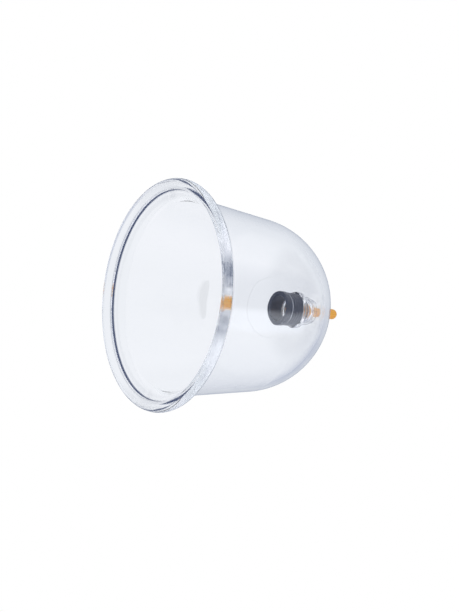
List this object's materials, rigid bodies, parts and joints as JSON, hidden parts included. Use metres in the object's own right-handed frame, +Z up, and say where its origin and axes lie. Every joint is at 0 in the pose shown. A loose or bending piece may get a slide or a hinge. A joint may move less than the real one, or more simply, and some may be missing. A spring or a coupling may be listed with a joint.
{
  "type": "cupping cup",
  "caption": "Clear bell-shaped vacuum cupping cup with a rolled rim and a sprung pull valve in its crown, shut by a soft seal.",
  "frame": {"origin": "centre of the mouth, on the plane where the rim meets the skin", "axes": "+Z up the cup's axis from the mouth to the valve's tip; X and Y across the mouth, alike because the cup is round"},
  "size_m": [0.08, 0.08, 0.0787],
  "materials": {
    "clear_shell": "clear polycarbonate, polished",
    "dark_rubber": "moulded rubber, satin",
    "amber_plastic": "moulded amber acetal, satin",
    "clear_silicone": "translucent silicone",
    "spring_steel": "drawn stainless wire",
    "ivory_plastic": "natural acetal"
  },
  "bodies": {
    "cup": {"cup_shell": "clear_shell", "valve_sleeve": "dark_rubber", "return_spring": "spring_steel"},
    "stem": {"valve_stem": "amber_plastic", "valve_seal": "clear_silicone", "spring_retainer": "ivory_plastic"}
  },
  "joints": [
    {"name": "stem_pull", "type": "slide", "parent": "cup", "child": "stem", "axis": [0, 0, 1], "range_m": [0, 0.002], "stiffness_N_per_m": 150, "springref_m": -0.002, "deforming": ["return_spring"]}
  ]
}
